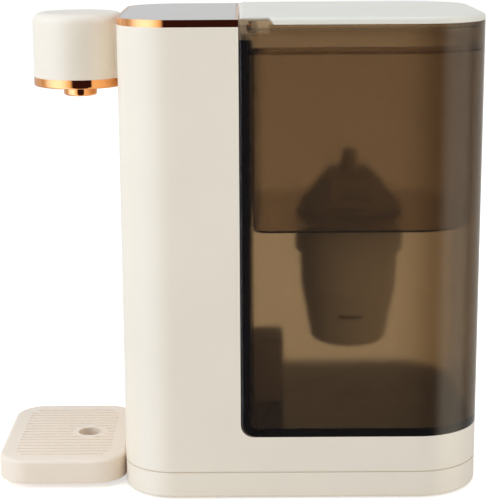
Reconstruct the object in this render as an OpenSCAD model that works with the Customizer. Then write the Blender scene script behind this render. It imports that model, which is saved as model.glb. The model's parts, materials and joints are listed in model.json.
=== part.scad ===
// Instant hot water dispenser: a front column with a touch panel and a spout, and a lift-off tank
// on a rear shelf. The front of the machine faces -y, and z = 0 is the table.

/* [Body] */
// Width across the sides
body_w = 155; // [145:1:170]
// Length from the front face to the rear face
body_l = 226.6; // [215:0.2:250]
// Height from the lower edge of the base to the glass
body_h = 300; // [290:1:330]
// Plan radius of the rear upright corners
corner_r = 41; // [34:1:46]
// Plan radius of the column's upright corners
front_corner_r = 33; // [28:1:41]
// Wall of the moulded housing
wall = 2.5; // [2:0.1:3.2]
// Height of the base pan up to the seam
base_h = 16.6; // [15:0.2:20]
// Height of the shelf that carries the tank
shelf_h = 40.2; // [38:0.2:50]
// Length of the front column
column_l = 74.6; // [70:0.2:85]
// Radius of the nook between column and shelf
nook_r = 8; // [4:0.5:9]
// Rounding of the lower edge of the base
base_edge_r = 2; // [1:0.25:3]
// Height of the shadow gap at the seam above the base
seam_gap = 0.9; // [0.5:0.1:1.4]
// Depth of the shadow gap
seam_depth = 0.9; // [0.4:0.1:1.2]

/* [Feet and screws] */
// Diameter of a rubber foot
foot_d = 14; // [10:0.5:16]
// Height of a foot below the base
foot_h = 1; // [0.6:0.2:3]
// Depth of the recess that holds a foot
foot_sink = 1; // [0.6:0.2:1.4]
// Distance of a foot from the side and the end of the body
foot_inset = 21; // [18:0.5:24]
// Distance of a screw from the side of the body
screw_inset_x = 22; // [20:0.5:24]
// Distance of a screw from the end of the body
screw_inset_y = 56; // [54:0.5:59]
// Shank diameter of the self-tapping screws
screw_d = 3; // [2.5:0.1:3.5]
// Head diameter of the screws
screw_head_d = 6; // [5:0.2:6.4]

/* [Top panel] */
// Height of the metal-look trim band
band_h = 4.4; // [3.5:0.1:6]
// Thickness of the trim band
band_t = 1.6; // [1.2:0.1:2.4]
// Thickness of the touch glass
glass_t = 2.2; // [1.6:0.1:2.6]
// Depth of the well for the touch board
well_depth = 9; // [7:0.5:11]

/* [Spout] */
// Diameter of the spout drum
drum_d = 58.6; // [54:0.2:64]
// Height of the drum above its ring
drum_h = 40.8; // [38:0.2:48]
// Rounding of the drum's top edge
drum_edge_r = 6; // [3:0.5:8]
// Distance of the nozzle axis in front of the body
spout_reach = 27.9; // [26:0.1:32]
// Height of the closing ring
ring_h = 5.7; // [3.5:0.1:7]
// Outer diameter of the nozzle
nozzle_d = 21.3; // [18:0.1:24]
// Length of the nozzle below the ring
nozzle_h = 6.6; // [5.4:0.2:12]
// Width of the neck between drum and column
neck_w = 34; // [30:1:38]
// Height of the neck above the ring
neck_h = 34; // [30:0.5:36]

/* [Tank] */
// Gap between column and tank
tank_gap = 0.5; // [0.4:0.1:1.2]
// Side and rear wall of the tank
tank_wall = 2.8; // [2.4:0.1:3.4]
// Front wall of the tank
tank_front_t = 4; // [3:0.1:5]
// Floor of the tank
tank_floor_t = 5; // [4:0.1:6]
// Radius of the lower front corner seen from the side
tank_corner_r = 10; // [9:0.5:14]
// Radius of the tank's upright front corners
tank_front_r = 1.2; // [1:0.1:2.5]
// Plan radius inside the tank's front corners
inner_front_r = 4.5; // [1:0.5:6]
// Extra radius inside the tank's rear corners, which makes the wall thicker there
corner_fill = 2.5; // [0:0.5:12]
// Depth of the pouring notch in the front wall
pour_notch_h = 9; // [6:0.5:11]
// Width of the guide rib on the column that fits a groove in the tank
guide_w = 40; // [20:1:60]
// Height of the guide rib off the column
guide_t = 2; // [1.8:0.1:2.2]
// Length of the thumb pocket beside the lid
thumb_l = 17; // [12:0.5:24]
// Height of the thumb pocket
thumb_h = 5.5; // [4:0.5:9]
// Depth of the thumb pocket in the wall
thumb_depth = 1.6; // [1:0.1:1.8]

/* [Lid] */
// Height of the lid's edge
lid_h = 4.2; // [3.4:0.1:5]
// Height of the lid above the glass
lid_rise = 1; // [0.5:0.1:2]
// Thickness of the lid's plate
lid_t = 2; // [1.6:0.1:2.6]
// Rounding of the lid's top edge
lid_edge_r = 2.2; // [0.8:0.1:2.4]
// Plan radius of the lid's front corners
lid_front_r = 3; // [2.6:0.1:5]
// Reach of the locating rim below the lid's edge
liner_reach = 5.2; // [4:0.2:7]

/* [Hopper] */
// Distance of the hopper's rim below the tank's rim
hopper_drop = 13.9; // [12:0.1:18]
// Height of the hopper from its rim to its underside
hopper_h = 113.8; // [104:0.2:118]
// Wall of the hopper
hopper_wall = 1.6; // [1.4:0.1:2.2]
// Floor of the hopper
hopper_floor_t = 2.2; // [1.8:0.1:3]
// Height of the hopper's rim
lip_h = 2.4; // [2:0.2:6]
// Width of the ledge in the tank
ledge_w = 2.2; // [1.8:0.1:2.6]
// Thickness of the ledge
ledge_t = 1.6; // [1.5:0.1:3]
// Rounding of the hopper's lower edge
hopper_edge_r = 4; // [2:0.5:4.5]

/* [Filter] */
// Distance of the filter axis behind the front face
filter_y = 146; // [142:1:152]
// Diameter of the holder's collar
collar_d = 70; // [68:0.5:74]
// Height of the collar
collar_h = 24; // [20:0.5:30]
// Upper diameter of the holder's cup
cup_top_d = 64; // [62:0.5:65]
// Diameter of the cup where its steeper taper begins
cup_mid_d = 62; // [60:0.5:62]
// Distance of that place below the collar
cup_mid_h = 24; // [18:0.5:28]
// Lower diameter of the holder's cup
cup_low_d = 50; // [46:0.5:54]
// Room between the cartridge and the floor of the cup
cup_foot_gap = 6.8; // [3:0.2:12]
// Wall of the holder
holder_wall = 2; // [1.6:0.1:2.4]
// Diameter of the cartridge at the hopper floor
cartridge_d = 56; // [52:0.5:56]
// Length of the cartridge below the hopper floor
cartridge_l = 79; // [70:0.5:90]
// Diameter of the cap's flange
cap_d = 68; // [65:0.5:69]
// Height of the cap above the hopper floor
cap_h = 39.7; // [36:0.1:42]
// Diameter of the pull knob
knob_d = 9; // [7:0.5:12]

/* [Outlet valve] */
// Width of the valve housing
valve_w = 36; // [32:1:44]
// Length of the valve housing
valve_l = 23; // [21:0.5:24]
// Height of the valve housing above the tank floor
valve_h = 41; // [34:0.5:46]
// Travel of the valve
valve_travel = 4; // [3:0.5:5]
// Diameter of the dock's nipple
nipple_d = 13; // [12:0.1:13.4]
// Wire diameter of the valve spring
spring_wire_d = 1; // [0.8:0.1:1.2]
// Turns of the valve spring
spring_turns = 5; // [4:1:6]

/* [Drip tray] */
// Width of the tray
tray_w = 115; // [104:1:122]
// Length of the tray
tray_l = 82.8; // [76:0.2:90]
// Height of the tray
tray_h = 19; // [17.6:0.2:22]
// Plan radius of the tray's corners
tray_r = 20; // [16:0.5:26]
// Rounding of the cover's top edge
tray_edge_r = 2.5; // [2:0.5:4]
// Width of the plain rim round the grooves
tray_rim_w = 10.5; // [8:0.5:12]
// Height of the ring that the tray stands on
tray_foot_h = 3.4; // [2.6:0.2:4]
// Distance of that ring from the tray's outside
tray_foot_inset = 11; // [9:0.5:14]
// Walls of the cover and of the basin
tray_wall = 2.5; // [2:0.1:3]
// Thickness of the cover's grooved top
cover_t = 3.2; // [2.8:0.1:4]
// Distance from groove to groove
groove_pitch = 5.6; // [5:0.2:8]
// Width of a groove
groove_w = 1.4; // [1:0.1:2.4]
// Depth of a groove
groove_d = 0.7; // [0.5:0.1:1.2]
// Diameter of the drain hole
drain_d = 15.5; // [12:0.5:18]
// Diameter of the plain ring round the drain hole
drain_ring_d = 24; // [21:0.5:28]
// Length of the collar under the drain hole
drain_collar_h = 5; // [3:0.5:7]
// Length of the tongue that locks the tray to the base
tongue_l = 10; // [7:0.5:12]
// Width of the tongue
tongue_w = 36; // [30:1:44]

/* [Water path] */
// Outer diameter of the hoses
hose_d = 9; // [8:0.2:9.6]
// Bore of the hoses
hose_bore = 5; // [4:0.1:5.4]
// Bend radius of the hoses
hose_bend = 14; // [12:0.5:15]
// Diameter of the heater tube
heater_d = 32; // [28:0.5:35]
// Length of the heater tube
heater_l = 110; // [90:1:120]
// Height of the heater tube's lower end above the base floor
heater_rise = 96; // [88:1:104]
// Distance of pump and heater behind the front face
heater_y = 34; // [33:0.5:36]
// Width, length and height of the pump head
pump_size = 28; // [27:0.5:29]
// Diameter of the pump motor
motor_d = 27; // [24:0.5:28]
// Length of the pump motor
motor_l = 32; // [26:0.5:34]

/* [Electronics] */
// Width of the power board
board_w = 100; // [90:1:108]
// Height of the power board
board_h = 80; // [70:1:90]
// Thickness of the boards
board_t = 1.6; // [1:0.1:2]
// Height of the power board's lower edge above the base floor
board_rise = 95; // [85:1:110]
// Diameter of the mains lead's hole
cord_hole_d = 8; // [6:0.2:9]

/* [Hidden] */
$fn = 72;

// Overshoot of cutting shapes, and the small clearances used throughout
cut = 1;
touch_fit = 0.05;
fit = 0.3;
loose_fit = 0.5;

// Colours
cream = [0.93, 0.90, 0.84];
off_white = [0.95, 0.94, 0.91];
copper = [0.85, 0.52, 0.36];
smoke = [0.45, 0.33, 0.20, 0.6];
dark_smoke = [0.20, 0.15, 0.11];
rubber_grey = [0.25, 0.25, 0.26];
silicone = [0.85, 0.86, 0.85];
steel = [0.70, 0.71, 0.73];
board_green = [0.10, 0.32, 0.20];

// Places along y
tray_gap = 0.4;
tray_reach = tray_l + tray_gap;
front_y = -(body_l - tray_reach) / 2;
rear_y = front_y + body_l;
column_rear_y = front_y + column_l;
tank_front_y = column_rear_y + tank_gap;
tank_inner_y = tank_front_y + tank_front_t;
nozzle_y = front_y - spout_reach;
heater_axis_y = front_y + heater_y;
filter_axis_y = front_y + filter_y;
dock_y = tank_inner_y + loose_fit + valve_l / 2;

// Levels
base_z = foot_h;
base_floor_z = base_z + wall;
seam_z = base_z + base_h;
seat_z = base_z + shelf_h;
rim_z = base_z + body_h - band_h;
top_z = base_z + body_h;
lid_top_z = top_z + lid_rise;
lid_low_z = lid_top_z - lid_h;
tank_rim_z = lid_low_z;
tank_floor_z = seat_z + tank_floor_t;
hopper_top_z = tank_rim_z - hopper_drop;
ledge_z = hopper_top_z - lip_h;
hopper_low_z = hopper_top_z - hopper_h;
hopper_floor_z = hopper_low_z + hopper_floor_t;
drum_low_z = top_z - drum_h;
ring_low_z = drum_low_z - ring_h;
nozzle_low_z = ring_low_z - nozzle_h;

// Flat outlines

// Outline with one radius at its front corners and another at its rear corners
module plan_outline(w, y0, y1, r_front, r_rear) {
    translate([-w / 2, y0 + r_front]) square([w, y1 - r_rear - y0 - r_front]);
    translate([-w / 2 + r_front, y0]) square([w - 2 * r_front, (y1 - y0) / 2]);
    translate([-w / 2 + r_rear, (y0 + y1) / 2]) square([w - 2 * r_rear, (y1 - y0) / 2]);
    for (side = [-1, 1]) {
        translate([side * (w / 2 - r_front), y0 + r_front]) circle(r_front);
        translate([side * (w / 2 - r_rear), y1 - r_rear]) circle(r_rear);
    }
}

// Plan of the whole body, moved inwards by an inset
module body_plan(inset) {
    plan_outline(body_w - 2 * inset, front_y + inset, rear_y - inset,
        front_corner_r - inset, corner_r - inset);
}

// Plan of the front column, square at its rear corners
module column_plan(inset) {
    intersection() {
        body_plan(inset);
        translate([-body_w / 2, front_y]) square([body_w, column_l - inset]);
    }
}

// Plan of the tank, with a separate inset for its front wall. Inside, the corners are fuller.
module tank_plan(inset, front_inset) {
    r_front = front_inset > 0 ? inner_front_r : tank_front_r;
    r_rear = inset > 0 ? corner_r + corner_fill - inset : corner_r;
    plan_outline(body_w - 2 * inset, tank_front_y + front_inset, rear_y - inset, r_front, r_rear);
}

// Extrudes a profile drawn in y and z across the width
module across(w) {
    translate([-w / 2, 0, 0]) rotate([90, 0, 90]) linear_extrude(w) children();
}

// Tube from z0 to z1 on the z axis
module tube(outer_d, inner_d, z0, z1) {
    difference() {
        translate([0, 0, z0]) cylinder(d = outer_d, h = z1 - z0);
        translate([0, 0, z0 - cut]) cylinder(d = inner_d, h = z1 - z0 + 2 * cut);
    }
}

// Slabs with rounded edges

// Section of a slab's edge from r - depth to r, with its outer corners rounded
module edge_section(r, depth, h, e_top, e_low) {
    translate([r - depth, e_low]) square([depth, h - e_top - e_low]);
    translate([r - depth, e_low]) square([depth - e_top, h - e_low]);
    translate([r - depth, 0]) square([depth - e_low, h - e_top]);
    intersection() {
        translate([r - depth, 0]) square([depth, h]);
        union() {
            if (e_top > 0) translate([r - e_top, h - e_top]) circle(e_top);
            if (e_low > 0) translate([r - e_low, e_low]) circle(e_low);
        }
    }
}

// Slab on the plane z = 0 with a rounded outline and rounded top and lower edges
module rounded_slab(w, y0, y1, r_front, r_rear, h, e_top, e_low) {
    e = max(e_top, e_low);
    depth = 2 * e;
    linear_extrude(h) plan_outline(w - 2 * e, y0 + e, y1 - e, r_front - e, r_rear - e);
    for (side = [0, 1]) mirror([side, 0, 0]) {
        translate([w / 2 - r_front, y0 + r_front, 0]) rotate([0, 0, -90]) rotate_extrude(angle = 90)
            edge_section(r_front, min(depth, r_front), h, e_top, e_low);
        translate([w / 2 - r_rear, y1 - r_rear, 0]) rotate_extrude(angle = 90)
            edge_section(r_rear, min(depth, r_rear), h, e_top, e_low);
        translate([w / 2, y1 - r_rear, 0]) rotate([90, 0, 0]) linear_extrude(y1 - r_rear - y0 - r_front)
            edge_section(0, depth, h, e_top, e_low);
    }
    translate([w / 2 - r_front, y0, 0]) rotate([0, 0, -90]) rotate([90, 0, 0]) linear_extrude(w - 2 * r_front)
        edge_section(0, depth, h, e_top, e_low);
    translate([r_rear - w / 2, y1, 0]) rotate([0, 0, 90]) rotate([90, 0, 0]) linear_extrude(w - 2 * r_rear)
        edge_section(0, depth, h, e_top, e_low);
}

// Places of the feet and of the screws, one at each corner
foot_places = [for (sx = [-1, 1], y = [front_y + foot_inset, rear_y - foot_inset])
    [sx * (body_w / 2 - foot_inset), y]];
screw_places = [for (sx = [-1, 1], y = [front_y + screw_inset_y, rear_y - screw_inset_y])
    [sx * (body_w / 2 - screw_inset_x), y]];

// Base

boss_d = 9;
screw_play = 0.4;
screw_hole_d = screw_d + screw_play;
pilot_d = screw_d + 2 * touch_fit;
head_play = 0.6;
counterbore_d = screw_head_d + head_play;
screw_seat_t = 4;
screw_head_h = 2.2;
screw_grip = 10;
lip_t = 1.6;
lip_rise = 3;
vent_count = 9;
vent_w = 3;
vent_pitch = 8;
vent_l = 46;
vent_back = 112;
vent_y = front_y + vent_back;
tongue_t = 3;
tongue_z = base_floor_z + loose_fit;
cord_z = base_z + base_h / 2;
bushing_rim = 2;
bushing_d = cord_hole_d + 2 * bushing_rim;
bushing_t = 1.2;

module base_pan() color(cream) {
    difference() {
        union() {
            difference() {
                translate([0, 0, base_z])
                    rounded_slab(body_w, front_y, rear_y, front_corner_r, corner_r, base_h, 0, base_edge_r);
                translate([0, 0, base_floor_z]) linear_extrude(base_h) body_plan(wall);
            }
            // Rim that locates the housing
            difference() {
                translate([0, 0, seam_z - wall]) linear_extrude(wall + lip_rise) body_plan(wall + fit);
                translate([0, 0, seam_z - 2 * wall]) linear_extrude(3 * wall + lip_rise)
                    body_plan(wall + fit + lip_t);
            }
            difference() {
                translate([0, 0, seam_z - wall]) linear_extrude(wall) body_plan(wall / 2);
                translate([0, 0, seam_z - 2 * wall]) linear_extrude(3 * wall) body_plan(wall + fit + lip_t);
            }
            for (p = screw_places) translate([p.x, p.y, base_z + wall / 2])
                cylinder(d = boss_d, h = base_h - wall / 2);
        }
        for (p = screw_places) translate([p.x, p.y, 0]) {
            cylinder(d = screw_hole_d, h = seam_z + cut);
            cylinder(d = counterbore_d, h = seam_z - screw_seat_t);
        }
        for (p = foot_places) translate([p.x, p.y, 0]) cylinder(d = foot_d + fit, h = base_z + foot_sink);
        for (i = [0 : vent_count - 1]) translate([-vent_l / 2, vent_y + i * vent_pitch, 0])
            cube([vent_l, vent_w, base_floor_z + cut]);
        // Slot for the tray's tongue
        translate([-tongue_w / 2 - loose_fit, front_y - cut, tongue_z - fit])
            cube([tongue_w + 2 * loose_fit, wall + 2 * cut, tongue_t + 2 * fit]);
        // Hole and seat for the mains lead's bushing
        translate([0, rear_y + cut, cord_z]) rotate([90, 0, 0])
            cylinder(d = cord_hole_d + 2 * bushing_t, h = 2 * wall + cut);
        translate([0, rear_y + cut, cord_z]) rotate([90, 0, 0])
            cylinder(d = bushing_d + fit, h = bushing_t + cut);
    }
}

module feet() color(rubber_grey) for (p = foot_places) translate([p.x, p.y, 0])
    cylinder(d = foot_d, h = foot_h + foot_sink);

module base_screws() color(steel) for (p = screw_places) translate([p.x, p.y, 0]) {
    translate([0, 0, seam_z - screw_seat_t - screw_head_h]) cylinder(d = screw_head_d, h = screw_head_h);
    translate([0, 0, seam_z - screw_seat_t - cut]) cylinder(d = screw_d, h = screw_seat_t + screw_grip + cut);
}

module cord_bushing() color(rubber_grey) translate([0, rear_y, cord_z]) rotate([90, 0, 0]) difference() {
    union() {
        cylinder(d = bushing_d, h = bushing_t);
        cylinder(d = cord_hole_d + 2 * bushing_t - 2 * touch_fit, h = wall + 2 * bushing_t);
    }
    translate([0, 0, -cut]) cylinder(d = cord_hole_d, h = wall + 4 * bushing_t);
}

// Housing

carrier_flange_t = 2;
rib_t = 3;
rib_depth = 6;
rib_h = 30;
rib_x = 30;
standoff_d = 7;
standoff_l = 6;
board_z = base_floor_z + board_rise;
board_y = column_rear_y - wall - standoff_l - board_t;
standoff_inset = 6;
board_corner_x = [-board_w / 2 + standoff_inset, board_w / 2 - standoff_inset];
board_corner_z = [board_z + standoff_inset, board_z + board_h - standoff_inset];
tube_rise = 0.4;
tube_z = drum_low_z + drum_h / 2 + tube_rise;
tube_hole_d = hose_d + 2 * loose_fit;
neck_screw_inset = 6;
neck_screw_x = neck_w / 2 - neck_screw_inset;
dock_flange_d = 30;
dock_body_d = 22;
boss_reach = 24;
guide_low_z = seat_z + 2 * tank_corner_r;
guide_top_z = tank_rim_z - pour_notch_h - 2 * cut;

// Column and shelf seen from the side, with the nook between them rounded
module side_outline(rear, column_rear, shelf, nook, z0, z1) {
    translate([front_y - cut, z0]) square([column_rear - front_y + cut, z1 - z0]);
    translate([front_y - cut, z0]) square([rear - front_y + cut, shelf - z0]);
    difference() {
        translate([column_rear - cut, shelf - cut]) square(nook + cut);
        translate([column_rear + nook, shelf + nook]) circle(nook);
    }
}

module housing_solid() {
    intersection() {
        translate([0, 0, seam_z]) linear_extrude(rim_z - seam_z) body_plan(0);
        across(body_w + 2 * cut)
            side_outline(rear_y + cut, column_rear_y, seat_z, nook_r, seam_z - cut, rim_z + cut);
    }
}

module housing_hollow() {
    intersection() {
        translate([0, 0, seam_z - cut]) linear_extrude(rim_z - seam_z + 2 * cut) body_plan(wall);
        across(body_w + 2 * cut)
            side_outline(rear_y + cut, column_rear_y - wall, seat_z - wall, nook_r + wall,
                seam_z - 2 * cut, rim_z + 2 * cut);
    }
}

module housing_shell() color(cream) difference() {
    union() {
        difference() {
            housing_solid();
            housing_hollow();
        }
        intersection() {
            housing_solid();
            housing_fixings();
        }
        // Rib that guides the tank
        translate([-guide_w / 2, column_rear_y - wall / 2, guide_low_z])
            cube([guide_w, wall / 2 + guide_t, guide_top_z - guide_low_z]);
    }
    // Shadow gap above the base
    difference() {
        translate([0, 0, seam_z - cut]) linear_extrude(seam_gap + cut) body_plan(-cut);
        translate([0, 0, seam_z - 2 * cut]) linear_extrude(seam_gap + 3 * cut) body_plan(seam_depth);
    }
    for (p = screw_places) translate([p.x, p.y, seam_z - cut])
        cylinder(d = pilot_d, h = screw_grip + 2 * cut);
    for (x = board_corner_x, z = board_corner_z) translate([x, column_rear_y - wall - standoff_l - cut, z])
        rotate([-90, 0, 0]) cylinder(d = screw_d, h = standoff_l);
    // Hole in the shelf for the dock
    translate([0, dock_y, seat_z - 2 * wall]) cylinder(d = dock_body_d, h = 3 * wall);
    // Tube and screws through the front wall to the spout
    translate([0, front_y - cut, tube_z]) rotate([-90, 0, 0])
        cylinder(d = tube_hole_d, h = wall + 2 * cut);
    for (side = [-1, 1]) translate([side * neck_screw_x, front_y - cut, tube_z]) rotate([-90, 0, 0])
        cylinder(d = screw_hole_d, h = wall + 2 * cut);
}

// Screw bosses, ribs under the panel carrier and standoffs for the power board
module housing_fixings() {
    for (p = screw_places) {
        boss_top = p.y < column_rear_y ? seam_z + boss_reach : seat_z - wall / 2;
        reach = body_w / 2 - abs(p.x);
        translate([p.x, p.y, seam_z]) cylinder(d = boss_d, h = boss_top - seam_z);
        translate([p.x > 0 ? p.x : p.x - reach, p.y - rib_t / 2, seam_z + lip_rise + loose_fit])
            cube([reach, rib_t, boss_top - seam_z - lip_rise - loose_fit]);
    }
    rib_top = rim_z - carrier_flange_t;
    for (x = [-rib_x, rib_x], y = [front_y + wall / 2, column_rear_y - wall / 2 - rib_depth])
        translate([x - rib_t / 2, y, rib_top - rib_h]) cube([rib_t, rib_depth, rib_h]);
    for (x = board_corner_x, z = board_corner_z) translate([x, column_rear_y - wall - standoff_l, z])
        rotate([-90, 0, 0]) cylinder(d = standoff_d, h = standoff_l + wall / 2);
}

// Top of the column

trim_ledge_w = 4;
trim_ledge_t = band_h - glass_t;
well_inset = 12;
touch_board_gap = 2;
touch_board_inset = well_inset + wall + touch_board_gap;
touch_pad_d = 8;
touch_pad_count = 5;
touch_pad_pitch = 16;

module top_trim() color(copper) difference() {
    translate([0, 0, rim_z]) linear_extrude(band_h) column_plan(0);
    translate([0, 0, rim_z - cut]) linear_extrude(band_h + 2 * cut) column_plan(band_t + trim_ledge_w);
    translate([0, 0, rim_z + trim_ledge_t]) linear_extrude(band_h) column_plan(band_t);
}

module touch_panel() color([0.08, 0.08, 0.09]) translate([0, 0, rim_z + trim_ledge_t])
    linear_extrude(glass_t) column_plan(band_t + fit / 2);

module panel_carrier() color(off_white) difference() {
    union() {
        translate([0, 0, rim_z - carrier_flange_t]) linear_extrude(carrier_flange_t) column_plan(wall + fit);
        translate([0, 0, rim_z - well_depth]) linear_extrude(well_depth) column_plan(well_inset);
    }
    translate([0, 0, rim_z - well_depth + carrier_flange_t]) linear_extrude(well_depth)
        column_plan(well_inset + carrier_flange_t);
}

// Board with its display window and its row of sensing pads under the glass
module touch_board() color(board_green) {
    board_low = rim_z - well_depth + carrier_flange_t;
    glass_low = rim_z + trim_ledge_t;
    display_w = 40;
    display_l = 16;
    mid_y = front_y + column_l / 2;
    translate([0, 0, board_low]) linear_extrude(board_t) column_plan(touch_board_inset);
    translate([-display_w / 2, mid_y, board_low + board_t - touch_fit])
        cube([display_w, display_l, glass_low - board_low - board_t]);
    for (i = [0 : touch_pad_count - 1])
        translate([(i - (touch_pad_count - 1) / 2) * touch_pad_pitch, mid_y - touch_pad_d, board_low])
            cylinder(d = touch_pad_d, h = glass_low - board_low - touch_fit);
}

// Spout

drum_r = drum_d / 2;
drum_wall = 2.4;
ring_proud = 0.2;
ring_edge_r = 1.2;
ring_plate_t = 2.4;
upstand_reach = 3.4;
upstand_h = ring_h - ring_plate_t + upstand_reach;
upstand_d = drum_d - 2 * drum_wall - fit;
spigot_d = 15;
spigot_rise = 5;
barb_d = hose_bore - 2 * touch_fit;
barb_l = 8;
barb_wall = 1;
barb_bore = barb_d - 2 * barb_wall;
barb_top_z = tube_z - hose_bend - fit;
mouth_d = 13;
mouth_depth = 5;
nozzle_edge_r = 1.6;

// Everything behind the front face of the column
module behind_front() {
    translate([-drum_d, front_y, 0]) cube([2 * drum_d, drum_d, 2 * top_z]);
}

// Section of a round piece from z0 up, rounded at its lower edge
module low_edge_section(r, z0, h, edge) {
    translate([0, z0 + edge]) square([r, h - edge]);
    translate([0, z0]) square([r - edge, h]);
    intersection() {
        translate([r - edge, z0 + edge]) circle(edge);
        translate([0, z0]) square([r, edge]);
    }
}

// Section of the drum, rounded at its top edge
module drum_section(r, z1, edge) {
    translate([0, drum_low_z]) square([r, z1 - drum_low_z - edge]);
    translate([0, drum_low_z]) square([r - edge, z1 - drum_low_z]);
    translate([r - edge, z1 - edge]) circle(edge);
}

module spout_head() color(cream) difference() {
    union() {
        translate([0, nozzle_y, 0]) rotate_extrude() drum_section(drum_r, top_z, drum_edge_r);
        translate([-neck_w / 2, nozzle_y, drum_low_z]) cube([neck_w, spout_reach, neck_h]);
    }
    translate([0, nozzle_y, -cut]) rotate_extrude()
        drum_section(drum_r - drum_wall, top_z - drum_wall + cut, drum_edge_r - drum_wall);
    behind_front();
    translate([0, nozzle_y, tube_z]) rotate([-90, 0, 0])
        cylinder(d = tube_hole_d, h = spout_reach + cut);
    for (side = [-1, 1]) translate([side * neck_screw_x, front_y + cut, tube_z]) rotate([90, 0, 0])
        cylinder(d = pilot_d, h = screw_grip + cut);
}

// Ring and plate that close the drum from below
module spout_ring() color(copper) difference() {
    translate([0, nozzle_y, 0]) union() {
        rotate_extrude() low_edge_section(drum_r + ring_proud, ring_low_z, ring_h, ring_edge_r);
        translate([0, 0, ring_low_z + ring_plate_t]) cylinder(d = upstand_d, h = upstand_h);
    }
    translate([0, nozzle_y, ring_low_z + ring_plate_t])
        cylinder(d = upstand_d - 2 * drum_wall, h = upstand_h + cut);
    translate([0, nozzle_y, ring_low_z - cut]) cylinder(d = spigot_d + 2 * touch_fit, h = 2 * ring_h);
    translate([0, -touch_fit, 0]) behind_front();
}

module nozzle() color(copper) translate([0, nozzle_y, 0]) difference() {
    union() {
        rotate_extrude() low_edge_section(nozzle_d / 2, nozzle_low_z, nozzle_h, nozzle_edge_r);
        translate([0, 0, ring_low_z - cut]) cylinder(d = spigot_d, h = spigot_rise + cut);
        translate([0, 0, ring_low_z]) cylinder(d = barb_d, h = barb_top_z - ring_low_z);
    }
    translate([0, 0, nozzle_low_z - cut]) cylinder(d = mouth_d, h = mouth_depth + cut);
    translate([0, 0, nozzle_low_z]) cylinder(d = barb_bore, h = barb_top_z - nozzle_low_z + cut);
}

// Soft insert with a cross of ribs that calms the stream
module nozzle_insert() color(silicone) translate([0, nozzle_y, nozzle_low_z + cut / 2]) {
    insert_d = mouth_d - 2 * touch_fit;
    insert_h = mouth_depth - cut / 2;
    rib = 1;
    insert_wall = 2;
    tube(insert_d, insert_d - 2 * insert_wall, 0, insert_h);
    for (turn = [0, 90]) rotate([0, 0, turn]) translate([-insert_d / 2 + rib, -rib / 2, rib])
        cube([insert_d - 2 * rib, rib, insert_h / 2]);
}

module spout_screws() color(steel) for (side = [-1, 1])
    translate([side * neck_screw_x, front_y + wall, tube_z]) rotate([90, 0, 0]) {
        translate([0, 0, -screw_head_h]) cylinder(d = screw_head_d, h = screw_head_h);
        cylinder(d = screw_d, h = wall + screw_grip - cut);
    }

// Water path

heater_low_z = base_floor_z + heater_rise;
heater_top_z = heater_low_z + heater_l;
cap_wall = 3;
cap_cup = 6;
heater_cap_h = 14;
clamp_w = 10;
clamp_t = 2;
cradle_t = 3;
pump_z = base_floor_z + cradle_t + motor_d / 2;
pump_top_z = pump_z + pump_size / 2;
inlet_z = pump_z - pump_size / 2 + hose_d / 2 + 1;

// Straight hose from z0 to z1 on the z axis
module hose(z0, z1) {
    tube(hose_d, hose_bore, z0, z1);
}

// Quarter bend about the x axis, from the -z direction round to the +y direction
module hose_elbow() {
    rotate([0, 90, 0]) rotate_extrude(angle = 90) translate([hose_bend, 0]) difference() {
        circle(d = hose_d);
        circle(d = hose_bore);
    }
}

// Hose from the heater's upper cap up, forward through the front wall and down to the nozzle
module outlet_tube() color(silicone) {
    heater_outlet_z = heater_top_z + heater_cap_h - cap_cup;
    translate([0, heater_axis_y, 0]) hose(heater_outlet_z + touch_fit, tube_z - hose_bend);
    translate([0, heater_axis_y - hose_bend, tube_z - hose_bend]) rotate([90, 0, 0]) hose_elbow();
    translate([0, nozzle_y + hose_bend, tube_z]) rotate([-90, 0, 0])
        hose(0, heater_axis_y - nozzle_y - 2 * hose_bend);
    translate([0, nozzle_y + hose_bend, tube_z - hose_bend]) rotate([180, 0, 0]) hose_elbow();
    translate([0, nozzle_y, 0]) hose(ring_low_z + spigot_rise + touch_fit, tube_z - hose_bend);
}

heater_wall = 1.5;

module heater_tube() color(steel) translate([0, heater_axis_y, 0])
    tube(heater_d, heater_d - 2 * heater_wall, heater_low_z, heater_top_z);

// End cap with a cup for the tube and a barb for the hose, standing on z = 0 with its barb upwards
module heater_cap() {
    difference() {
        union() {
            cylinder(d = heater_d + 2 * cap_wall, h = heater_cap_h);
            cylinder(d = barb_d, h = heater_cap_h + barb_l);
        }
        translate([0, 0, -cut]) cylinder(d = heater_d + 2 * touch_fit, h = cap_cup + cut);
        cylinder(d = barb_bore, h = heater_cap_h + barb_l + cut);
    }
}

module heater_lower_cap() color(rubber_grey) translate([0, heater_axis_y, heater_low_z + cap_cup])
    rotate([180, 0, 0]) heater_cap();

module heater_upper_cap() color(rubber_grey) translate([0, heater_axis_y, heater_top_z - cap_cup])
    heater_cap();

// Two bands that hold the heater to the front wall
module heater_clamps() color(steel) for (z = [heater_low_z + heater_l / 4, heater_top_z - heater_l / 4])
    translate([0, heater_axis_y, z - clamp_w / 2]) difference() {
        union() {
            cylinder(d = heater_d + 2 * clamp_t, h = clamp_w);
            translate([-heater_d / 4, front_y + wall - heater_axis_y, 0])
                cube([heater_d / 2, heater_y - wall, clamp_w]);
        }
        translate([0, 0, -cut]) cylinder(d = heater_d + 2 * touch_fit, h = clamp_w + 2 * cut);
    }

// Safety switch with a saddle that fits the heater
module thermal_cutout() color(rubber_grey) difference() {
    cutout_d = 16;
    cutout_t = 9;
    translate([0, heater_axis_y + heater_d / 2 - 3, (heater_low_z + heater_top_z) / 2]) rotate([-90, 0, 0])
        cylinder(d = cutout_d, h = cutout_t);
    translate([0, heater_axis_y, heater_low_z]) cylinder(d = heater_d + 2 * touch_fit, h = heater_l);
}

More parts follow.
